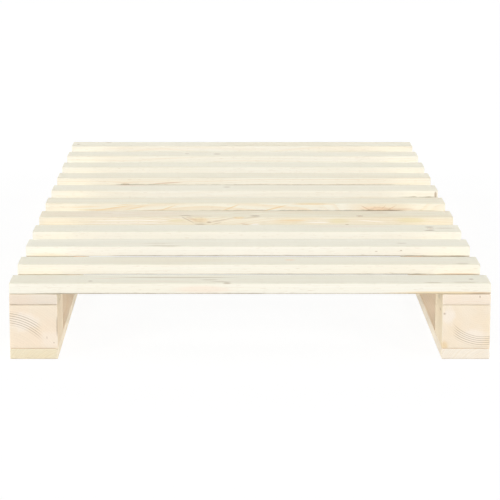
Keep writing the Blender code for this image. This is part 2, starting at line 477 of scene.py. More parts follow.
class ToolMarks(Effect):
    """The arcs that a circular saw leaves, and the planer's fine ripple."""

    NAME = "tool marks"
    GIVES = ("Saw", "Planer")

    SAW_MIDDLE = (0.0, 0.11, -0.16)
    TOOTH_WAVES = 900.0
    FUZZ_WAVES, FUZZ_SHARE = (700.0, 700.0, 700.0), 0.6
    RIPPLE_LENGTH = 0.0055
    PATCHY_WAVES = (4.0, 12.0, 12.0)

    def draw(self) -> None:
        """Draw the marks."""
        (place,) = self.given
        radius = ((place - self.SAW_MIDDLE) * CROSS_SECTION).length()
        teeth = radius.line_noise(self.TOOTH_WAVES)
        ripple = (place.split()[0] * (math.tau / self.RIPPLE_LENGTH)).through("SINE")
        saw = place.noise(self.FUZZ_WAVES).fit(self.FUZZ_SHARE, teeth)
        self.give(saw, ripple * place.noise(self.PATCHY_WAVES, detail=1.0))


class PineEffects:
    """The node groups that all the pine finishes share."""

    def __init__(self) -> None:
        """Build every group once."""
        self.rings = GrowthRings()
        self.fibre = PineFibre()
        self.knot = BranchKnot()
        self.patch = TonePatch()
        self.edge = EasedEdgeAndFootShade()
        self.arris_shade = PaintedArrisShade()
        self.marks = ToolMarks()


@dataclass(frozen=True)
class ArrisShade:
    """One stretch of painted shade along an arris, where boards meet in shadow, and how far it reaches
    from it.
    """

    start: float
    end: float
    up: float
    strength: float
    across: float = 0.0040
    arris: Arris = Arris.LOWER_FRONT


@dataclass(frozen=True)
class Knot:
    """One knot of a board."""

    place: Point
    radius: float
    stretch: float
    widen: float
    depth: float
    swell: float
    branch: Branch = Branch.UPRIGHT


@dataclass(frozen=True)
class Patch:
    """One soft patch or streak of another tone."""

    place: Point
    reach: Point
    tone: Colour
    strength: float
    lean: float = 0.0


@dataclass(frozen=True)
class PineFinish:
    """Bare planed pine of one board: its figure, its tones, its marks, and the light and shade painted
    on it.
    """

    cut: Cut = Cut.FLAT
    sapwood: Colour = PALE
    heartwood: Colour = CREAM
    contrast: float = 0.35
    latewood: Colour = (0.900, 0.815, 0.680)
    ring_width: float = 0.0042
    wander: float = 0.016
    taper: float = 0.006
    sharpness: float = 0.30
    evenness: float = 0.25
    clear_radius: float = 0.10
    clear_spread: float = 1.0
    clear_reach: float = 1.0
    quiet: float = 0.22
    seed: float = 0.0
    # Strength of the painted shade along the lower arrises.
    foot: float = 0.25
    end_tone: Colour = (0.955, 0.915, 0.845)
    # Painted light and shade: sides, and faces that look up or down, are tinted apart to match how each
    # is lit.
    side_lighting_tint: Colour = (1.0, 1.0, 1.0)
    face_lighting_tint: Colour = (0.998, 0.997, 0.972)
    knots: tuple[Knot, ...] = ()
    patches: tuple[Patch, ...] = ()
    # Stretches of painted shade along the arrises.
    arris_shades: tuple[ArrisShade, ...] = ()


@dataclass
class PineMaterial:
    """The material of one board, drawn from its finish in the board's own space."""

    name: str
    finish: PineFinish
    middle: Vector
    half: Vector
    grain: Grain
    effects: PineEffects

    SEED_STEP = (3.7, 1.3, 0.9)
    FACING_STEP = (0.45, 0.85)
    DRIFT_STEP = (0.36, 0.66)
    KNOT_TONE = (0.790, 0.640, 0.470)
    RIM_TONE = (0.560, 0.430, 0.310)
    # Tone of the painted shade along chosen arrises.
    ARRIS_SHADE_TONE = (0.520, 0.435, 0.315)
    DUCT_TONE = (0.740, 0.620, 0.460)
    EDGE_TONE = (0.970, 0.950, 0.900)
    # Tone of the painted shade along the lower arrises.
    FOOT_SHADE_TONE = (0.600, 0.500, 0.390)
    RING_SHADE = (0.022, 0.989)
    STREAK_SHADE = (0.075, 0.9625)
    DUCT_STRENGTH = 0.35
    END_STRENGTH = 0.6
    RIM_STRENGTH = 0.6
    EDGE_STRENGTH = 0.15
    RAY_FIT = (-0.35, 1.0)
    SPECULAR = 0.32
    GLOSS_FIT = (-0.08, 0.64)
    END_GLOSS = 0.14
    LATEWOOD_RISE, STREAK_RISE, PLANER_RISE, RIM_RISE, SAW_RISE = 0.35, 0.5, 0.10, -0.8, 1.3
    RELIEF = (0.55, 0.00008)

    def __post_init__(self) -> None:
        """Make the material and place what its colour, gloss and relief share."""
        self.material = bpy.data.materials.new(self.name)
        self.material.use_nodes = True
        self.graph = ShaderGraph(self.material.node_tree)
        texture = self.graph.node("TexCoord").outputs
        angle = self.grain.value * -math.pi / 2
        start = -(Matrix.Rotation(angle, 3, "Z") @ self.middle)
        named = {"Vector": Value(texture["Object"]), "Location": start, "Rotation": (0.0, 0.0, angle)}
        self.board = self.graph.value("Mapping", **named)
        shifted = self.board + tuple(step * self.finish.seed for step in self.SEED_STEP)
        normal = Value(texture["Normal"]).split()
        self.end = abs(normal[self.grain.value]).ramp(*self.FACING_STEP)
        self.face = abs(normal[2]).ramp(*self.FACING_STEP)
        self.knots = [self.place_knot(knot) for knot in self.finish.knots]
        self.rings = self.place_rings()
        self.fibre = self.effects.fibre.place(shifted)
        self.marks = self.effects.marks.place(shifted)
        self.paint: Feed = self.finish.sapwood

    def place_knot(self, knot: Knot) -> dict[str, Value]:
        """Place one knot on its branch.

        Args:
            knot: The knot.

        Returns:
            The knot's outputs by name.
        """
        branch = tuple(Vector(knot.branch.value).normalized())
        named = {"Centre": knot.place, "Direction": branch, "Radius": knot.radius}
        return self.effects.knot.place(self.board, Shape=(knot.stretch, knot.widen, 1.0), **named)

    def place_rings(self) -> dict[str, Value]:
        """Place the growth rings, swollen round each knot.

        Returns:
            The rings' outputs by name.
        """
        swells = [node["Swell"] * knot.swell for node, knot in zip(self.knots, self.finish.knots)]
        names = [name.replace(" ", "_") for name in GrowthRings.NUMBERS if name != "Swell"]
        figure = {name: getattr(self.finish, name.lower()) for name in names}
        figure["Swell"] = reduce(Value.__add__, swells) if swells else 0.0
        across, up = self.finish.cut.value
        return self.effects.rings.place(self.board + (0.0, -across, -up), **figure)

    def build(self) -> Material:
        """Finish the material.

        Returns:
            The material.
        """
        self.paint_wood()
        self.paint_wear_and_shade()
        gloss = self.rings["Latewood"].fit(*self.GLOSS_FIT) + self.end * self.END_GLOSS
        shader = self.material.node_tree.nodes["Principled BSDF"]
        for name, value in (
            ("Base Color", self.paint),
            ("Roughness", gloss),
            ("Specular IOR Level", self.SPECULAR),
            ("Normal", self.relief()),
        ):
            self.graph.feed(shader.inputs[name], value)
        return self.material

    def tint(self, mask: Value, strength: float, tone: Colour, blend: str = "MIX") -> None:
        """Tint the paint with a tone by a mask."""
        self.paint = self.graph.mix(mask * strength, self.paint, tone, blend)

    def shade(self, value: Value, reach: float, least: float) -> None:
        """Darken the paint where a value is low."""
        grey = self.graph.value("CombineXYZ", *[value.fit(reach, least)] * 3)
        self.paint = self.graph.mix(1.0, self.paint, grey, "MULTIPLY")

    def paint_wood(self) -> None:
        """Paint the wood: its drifts, patches, rings, fibres, sawn ends and knots."""
        drift = self.fibre["Drift"].ramp(*self.DRIFT_STEP)
        self.paint = self.graph.mix(drift, self.paint, self.finish.heartwood)
        self.shade(self.rings["Ring Tone"], *self.RING_SHADE)
        for patch in self.finish.patches:
            named = {"Centre": patch.place, "Reach": patch.reach, "Lean": patch.lean}
            mask = self.effects.patch.place(self.board, **named)["Mask"]
            self.tint(mask, patch.strength, patch.tone)
        self.tint(self.rings["Latewood"], self.finish.contrast, self.finish.latewood)
        self.shade(self.fibre["Streak"], *self.STREAK_SHADE)
        self.tint(self.fibre["Ducts"], self.DUCT_STRENGTH, self.DUCT_TONE)
        self.tint(self.end, self.END_STRENGTH, self.finish.end_tone, "MULTIPLY")
        for node, knot in zip(self.knots, self.finish.knots):
            core = node["Rays"].fit(*self.RAY_FIT) * node["Core"]
            self.tint(core, knot.depth, self.KNOT_TONE)
            self.tint(node["Rim"], knot.depth * self.RIM_STRENGTH, self.RIM_TONE)

    def paint_wear_and_shade(self) -> None:
        """Paint the eased edges, painted shade along the lower arrises and along chosen arrises, and a
        painted light and shade tint for each way a face looks.
        """
        half = tuple(self.half)
        edge = self.effects.edge.place(self.board, Half_Size=half)
        self.tint(edge["Mask"], self.EDGE_STRENGTH, self.EDGE_TONE)
        # Painted shade along the lower arrises.
        self.tint(edge["Foot"], self.finish.foot, self.FOOT_SHADE_TONE)
        # Painted light and shade: tint the sides and the up and down faces apart, by which way they
        # look.
        side = (1.0 - self.end - self.face).most(0.0)
        for mask, tone in ((self.face, self.finish.face_lighting_tint), (side, self.finish.side_lighting_tint)):
            self.paint = self.graph.mix(mask, self.paint, tone, "MULTIPLY")
        # Painted shade along chosen arrises, where boards meet in shadow.
        for arris_shade in self.finish.arris_shades:
            named = {"Side": arris_shade.arris.value, "Reach": (1.0, arris_shade.across, arris_shade.up)}
            named |= {"Half_Size": half, "Start": arris_shade.start, "End": arris_shade.end}
            mask = self.effects.arris_shade.place(self.board, **named)["Mask"]
            self.tint(mask, arris_shade.strength, self.ARRIS_SHADE_TONE)

    def relief(self) -> Value:
        """Raise the hard rings and fibres a little, and rough up the sawn ends.

        Returns:
            The normal.
        """
        height = self.rings["Latewood"] * self.LATEWOOD_RISE
        height = self.fibre["Streak"].fit(self.STREAK_RISE, height)
        height = self.marks["Planer"].fit(self.PLANER_RISE, height)
        for knot in self.knots:
            height = knot["Rim"].fit(self.RIM_RISE, height)
        height = (self.marks["Saw"] * self.end).fit(self.SAW_RISE, height)
        return height.bump(*self.RELIEF)


@dataclass(frozen=True)
class ZincFinish:
    """Bright zinc plate with a faint mottle and fine turning lines."""

    pale: Colour = (0.80, 0.81, 0.82)
    dull: Colour = (0.66, 0.67, 0.69)

    MOTTLE_WAVES = (420.0, 420.0, 420.0)
    LINE_WAVES = (60.0, 60.0, 5200.0)
    DULL_STEP = (0.35, 0.7)
    GLOSS_STEP = (0.3, 0.75, 0.24, 0.42)
    RELIEF = (0.25, 0.00005)

    def make(self, name: str) -> Material:
        """Make the plate's material.

        Args:
            name: The material's name.

        Returns:
            The material.
        """
        material = bpy.data.materials.new(name)
        material.use_nodes = True
        graph = ShaderGraph(material.node_tree)
        place = Value(graph.node("TexCoord").outputs["Object"])
        mottle = place.noise(self.MOTTLE_WAVES, detail=3.0)
        shader = material.node_tree.nodes["Principled BSDF"]
        for name, value in (
            ("Base Color", graph.mix(mottle.ramp(*self.DULL_STEP), self.pale, self.dull)),
            ("Roughness", mottle.ramp(*self.GLOSS_STEP)),
            ("Metallic", 1.0),
            ("Normal", place.noise(self.LINE_WAVES, detail=1.0).bump(*self.RELIEF)),
        ):
            graph.feed(shader.inputs[name], value)
        return material


class Bench:
    """Blender's modelling operators, as used on one piece at a time."""

    @staticmethod
    def clear_selection() -> None:
        """Leave edit mode and deselect every object."""
        if bpy.context.object and bpy.context.object.mode != "OBJECT":
            bpy.ops.object.mode_set(mode="OBJECT")
        bpy.ops.object.select_all(action="DESELECT")

    @staticmethod
    def pick(*pieces: Object) -> None:
        """Make some pieces the only selected ones.

        Args:
            *pieces: The pieces, of which the first becomes the active one.
        """
        Bench.clear_selection()
        for piece in pieces:
            piece.select_set(True)
        bpy.context.view_layer.objects.active = pieces[0]

    @staticmethod
    def settle() -> Object:
        """Move the new piece's place, turn and size into its mesh, and return it."""
        bpy.ops.object.transform_apply(location=True, rotation=True, scale=True)
        return bpy.context.object

    @staticmethod
    def select_edges(piece: Object, wanted: Callable[[Vector, Vector], bool]) -> None:
        """Select the edges whose two ends pass a test, in edit mode.

        Args:
            piece: The piece that is being edited.
            wanted: Test of the places of an edge's two ends.
        """
        bpy.ops.mesh.select_mode(type="EDGE")
        bpy.ops.mesh.select_all(action="DESELECT")
        shape = bmesh.from_edit_mesh(piece.data)
        for edge in shape.edges:
            edge.select_set(wanted(edge.verts[0].co, edge.verts[1].co))
        shape.select_flush_mode()
        bmesh.update_edit_mesh(piece.data)

    @staticmethod
    def apply_modifiers(piece: Object) -> None:
        """Apply every modifier of a piece, first to last.

        Args:
            piece: The piece.
        """
        Bench.pick(piece)
        for modifier in list(piece.modifiers):
            bpy.ops.object.modifier_apply(modifier=modifier.name)

    @staticmethod
    def cut(piece: Object, cutters: list[Object]) -> None:
        """Cut some bodies out of a piece.

        Args:
            piece: The piece.
            cutters: The bodies.
        """
        for cutter in cutters:
            boolean = piece.modifiers.new(cutter.name, "BOOLEAN")
            boolean.operation = "DIFFERENCE"
            boolean.solver = "EXACT"
            boolean.object = cutter
        Bench.apply_modifiers(piece)

    @staticmethod
    def smooth(piece: Object, degrees: float) -> None:
        """Shade a piece smooth and keep its sharp corners."""
        Bench.pick(piece)
        bpy.ops.object.shade_smooth_by_angle(angle=math.radians(degrees))

    @staticmethod
    def turned(name: str, sides: int, profile: list[tuple[float, float]]) -> Object:
        """Raise a round body on a disc, ring by ring, about the world's vertical axis.

        Args:
            name: The piece's name.
            sides: Number of sides of the round body.
            profile: Radius and height of each ring, from the lowest up.

        Returns:
            The closed body.
        """
        Bench.clear_selection()
        radius, height = profile[0]
        bpy.ops.mesh.primitive_circle_add(
            vertices=sides, radius=radius, fill_type="NGON", location=(0.0, 0.0, height)
        )
        piece = Bench.settle()
        piece.name = name
        bpy.ops.object.mode_set(mode="EDIT")
        bpy.ops.mesh.select_mode(type="FACE")
        bpy.ops.mesh.select_all(action="SELECT")
        for next_radius, next_height in profile[1:]:
            rise = (0.0, 0.0, next_height - height)
            bpy.ops.mesh.extrude_region_move(TRANSFORM_OT_translate={"value": rise})
            factor = next_radius / radius
            bpy.ops.transform.resize(value=(factor, factor, 1.0))
            radius, height = next_radius, next_height
        bpy.ops.mesh.select_all(action="SELECT")
        bpy.ops.mesh.normals_make_consistent(inside=False)
        bpy.ops.object.mode_set(mode="OBJECT")
        return piece

    @staticmethod
    def copies(master: Object, nodes: list[str], prefix: str) -> list[Object]:
        """Copy a screw or its cutter to some nodes, each with a mesh of its own.

        Args:
            master: The piece to copy, which is removed afterwards.
            nodes: The nodes of the screws.
            prefix: What the copies' names have before the node's.

        Returns:
            The copies, with their objects at the origin.
        """
        made = []
        for node in nodes:
            low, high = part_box(node)
            copy = master.copy()
            copy.data = master.data.copy()
            copy.name = prefix + node
            bpy.context.scene.collection.objects.link(copy)
            foot = Vector(((low[0] + high[0]) / 2, (low[1] + high[1]) / 2, low[2]))
            copy.data.transform(Matrix.Translation(foot))
            made.append(copy)
        bpy.data.objects.remove(master, do_unlink=True)
        return made


def hand_over(piece: Object, node: str) -> None:
    """Let a finished piece ride on the bed and stand for its node.

    Args:
        piece: The finished piece.
        node: The node that it stands for.
    """
    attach(piece, "root")
    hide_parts(node)
    log.info("%s stands for %s, with %d faces", piece.name, node, len(piece.data.polygons))


@dataclass
class WoodScrew:
    """One size of countersunk wood screw, modelled once and copied to each place."""

    use: str
    finish: ZincFinish = ZincFinish()
    head_radius: float = field(init=False)
    shank_radius: float = field(init=False)
    length: float = field(init=False)

    SIDES = 32
    SLACK = 0.0003
    OVERRUN = 0.004
    SHANK_SHARE = 0.5
    HEAD_HEIGHT_SHARE = 0.75
    RIM_SHARE = 0.10
    LIP_SHARE, LIP_HEIGHT_SHARE = 0.97, 0.3
    NECK_SHARE, NECK_LENGTH_SHARE = 1.05, 1.1
    TAPER_SHARE = 0.3
    SMOOTH_SHARE = 0.85
    SMOOTH_LENGTH_SHARE = 0.38
    CORE_SHARE = 0.72
    PITCH_SHARE = 1.1
    THREAD_STEPS = (0.55, 0.75, 0.95)
    TIP_LENGTH_SHARE = 3.0
    TIP_SHARE = 0.04
    RECESS_SHARE = 0.48
    RECESS_DEPTH_SHARE = 0.45
    LOBES = 6
    SIDES_PER_LOBE = 6
    LOBE_DIP = 0.14
    SMOOTH_DEGREES = 32.0

    def __post_init__(self) -> None:
        """Read the screw's size from the first of its nodes."""
        low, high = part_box(f"left_{self.use}_screw_01")
        self.head_radius = (high[0] - low[0]) / 2
        self.shank_radius = self.head_radius * self.SHANK_SHARE
        self.length = high[2] - low[2]

    def build_master(self) -> Object:
        """Model the screw, pointing up from the origin, with its drive recess.

        Returns:
            The finished screw.
        """
        neck = self.head_radius * self.HEAD_HEIGHT_SHARE
        rim = self.head_radius * self.RIM_SHARE
        smooth = self.shank_radius * self.SMOOTH_SHARE
        core = self.shank_radius * self.CORE_SHARE
        smooth_end = self.length * self.SMOOTH_LENGTH_SHARE
        tip = self.length - self.shank_radius * self.TIP_LENGTH_SHARE
        profile = [
            (self.head_radius * self.LIP_SHARE, 0.0),
            (self.head_radius, rim * self.LIP_HEIGHT_SHARE),
            (self.head_radius, rim),
            (self.shank_radius * self.NECK_SHARE, neck),
            (smooth, neck * self.NECK_LENGTH_SHARE),
            (smooth, smooth_end),
            (core, smooth_end + self.shank_radius * self.TAPER_SHARE),
        ]
        pitch = self.shank_radius * self.PITCH_SHARE
        height = smooth_end + self.shank_radius * 0.5
        for _ in range(int((tip - smooth_end - pitch) / pitch)):
            for radius, step in zip((core, self.shank_radius, core), self.THREAD_STEPS):
                profile.append((radius, height + pitch * step))
            height += pitch
        profile.append((core, tip))
        profile.append((self.shank_radius * self.TIP_SHARE, self.length))
        screw = Bench.turned(self.use + "_screw_master", self.SIDES, profile)
        star = self.build_star()
        Bench.cut(screw, [star])
        bpy.data.objects.remove(star, do_unlink=True)
        Bench.smooth(screw, self.SMOOTH_DEGREES)
        screw.data.materials.append(self.finish.make(self.use + "_zinc"))
        return screw

    def build_star(self) -> Object:
        """Model the six-lobed body that cuts the drive recess.

        Returns:
            The body, with its middle at the origin.
        """
        reach = self.head_radius * self.RECESS_SHARE
        depth = self.head_radius * self.RECESS_DEPTH_SHARE
        Bench.clear_selection()
        bpy.ops.mesh.primitive_cylinder_add(
            vertices=self.LOBES * self.SIDES_PER_LOBE, radius=reach, depth=depth * 2.0,
            location=(0.0, 0.0, 0.0),
        )
        star = Bench.settle()
        for vertex in star.data.vertices:
            angle = math.atan2(vertex.co.y, vertex.co.x)
            dip = 1.0 - self.LOBE_DIP + self.LOBE_DIP * math.cos(angle * self.LOBES)
            vertex.co.x *= dip
            vertex.co.y *= dip
        return star

    def place_all(self, nodes: list[str]) -> None:
        """Copy the screw to every node that it stands for."""
        for screw, node in zip(Bench.copies(self.build_master(), nodes, "dressed_"), nodes):
            hand_over(screw, node)

    def place_cutters(self, nodes: list[str]) -> Object:
        """Copy the screw's clearance body to some nodes and join the copies.

        Args:
            nodes: The nodes of the screws.

        Returns:
            The joined cutter.
        """
        wide = self.head_radius + self.SLACK
        bore = self.shank_radius + self.SLACK
        profile = [
            (wide, -self.OVERRUN),
            (wide, self.head_radius * self.RIM_SHARE),
            (bore, self.head_radius * self.HEAD_HEIGHT_SHARE),
            (bore, self.length + self.SLACK),
        ]
        master = Bench.turned(self.use + "_bore_master", self.SIDES, profile)
        Bench.pick(*Bench.copies(master, nodes, "bore_"))
        bpy.ops.object.join()
        return bpy.context.object


@dataclass
class TimberPiece:
    """A sawn and planed piece of pine that fills one node's box."""

    node: str
    slot: str
    finish: PineFinish
    edge_radius: float = 0.0020
    grain: Grain = Grain.ALONG_BED
    end_radius: float = 0.0016
    step_along: float = 0.010
    steps_across: int = 6
    steps_up: int = 1

    EDGE_SEGMENTS = 4
    END_SEGMENTS = 2
    WAVE_LENGTH = 0.11
    WAVE_DEPTH = 0.00025
    SMOOTH_DEGREES = 35.0
    TOLERANCE = 1e-5

    def __post_init__(self) -> None:
        """Read the node's box and lay out its axes."""
        low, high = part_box(self.node)
        self.middle = (Vector(low) + Vector(high)) / 2
        self.size = Vector(high) - Vector(low)
        self.along = self.grain.value
        self.across = 1 - self.along
        self.ends = (low[self.along], high[self.along])

    def make(self, cutters: list[Object], effects: PineEffects) -> None:
        """Saw, ease, plane and bore the piece, dress it and hand it over to its node.

        Args:
            cutters: The joined clearance bodies of the screws.
            effects: The shared node groups.
        """
        piece = self.saw()
        Bench.cut(piece, cutters)
        Bench.smooth(piece, self.SMOOTH_DEGREES)
        half = Vector((self.size[self.along], self.size[self.across], self.size.z)) / 2
        name = self.node + "_pine"
        pine = PineMaterial(name, self.finish, self.middle, half, self.grain, effects)
        piece.data.materials.clear()
        piece.data.materials.append(pine.build())
        hand_over(piece, self.node)

    def saw(self) -> Object:
        """Saw the piece out of a block, ease its edges and plane its faces.

        Returns:
            The piece, before its bores.
        """
        Bench.clear_selection()
        bpy.ops.mesh.primitive_cube_add(size=1.0, location=self.middle)
        bpy.ops.transform.resize(value=self.size)
        piece = Bench.settle()
        piece.name = "dressed_" + self.node
        bpy.ops.object.mode_set(mode="EDIT")
        for wanted, radius, segments in (
            (partial(self.runs, self.along, 0.0), self.edge_radius, self.EDGE_SEGMENTS),
            (self.at_an_end, self.end_radius, self.END_SEGMENTS),
        ):
            Bench.select_edges(piece, wanted)
            bpy.ops.mesh.bevel(offset=radius, segments=segments, affect="EDGES", profile=0.5)
        steps_along = int(self.size[self.along] / self.step_along)
        for axis, steps in (
            (self.along, steps_along),
            (self.across, self.steps_across),
            (2, self.steps_up),
        ):
            Bench.select_edges(piece, partial(self.runs, axis, self.size[axis] / 2))
            bpy.ops.mesh.subdivide(number_cuts=steps)
        bpy.ops.object.mode_set(mode="OBJECT")
        self.plane(piece)
        return piece

    def plane(self, piece: Object) -> None:
        """Sink slight waves into the faces, as a planer and a sanding belt leave them.

        Args:
            piece: The piece.
        """
        waves = bpy.data.textures.new(self.node + "_waves", "CLOUDS")
        waves.noise_scale = self.WAVE_LENGTH
        sink = piece.modifiers.new("planer_waves", "DISPLACE")
        sink.texture = waves
        sink.texture_coords = "LOCAL"
        sink.direction = "NORMAL"
        sink.mid_level = 0.0
        sink.strength = -self.WAVE_DEPTH
        Bench.apply_modifiers(piece)
        bpy.data.textures.remove(waves)

    def runs(self, axis: int, at_least: float, first: Vector, second: Vector) -> bool:
        """Tell whether an edge runs along an axis and is long enough.

        Args:
            axis: The axis, 0 to 2.
            at_least: The length that it has to be longer than.
            first: Where the edge starts.
            second: Where it ends.

        Returns:
            Whether it does and is.
        """
        gap = second - first
        straight = all(abs(gap[other]) < self.TOLERANCE for other in range(3) if other != axis)
        return straight and abs(gap[axis]) > max(at_least, self.TOLERANCE)

    def at_an_end(self, first: Vector, second: Vector) -> bool:
        """Tell whether an edge lies in the plane of a sawn end."""
        places = (first[self.along], second[self.along])
        return any(all(abs(place - end) < self.TOLERANCE for place in places) for end in self.ends)


# Where a slat's front and top faces lie, across and up from its middle.
SLAT_FRONT = -0.043
SLAT_TOP = 0.0115


def front(
    along: float, up: float, long: float, high: float, tone: Colour, strength: float,
    lean: float = 0.0, deep: float = 0.010,
) -> Patch:
    """Make a patch on a slat's front face from its place and its reach along and up."""
    return Patch((along, SLAT_FRONT, up), (long, deep, high), tone, strength, lean)


def top(
    along: float, across: float, long: float, wide: float, tone: Colour, strength: float,
    deep: float = 0.006,
) -> Patch:
    """Make a patch on a slat's top face from its place and its reach along and across."""
    return Patch((along, across, SLAT_TOP), (long, wide, deep), tone, strength)
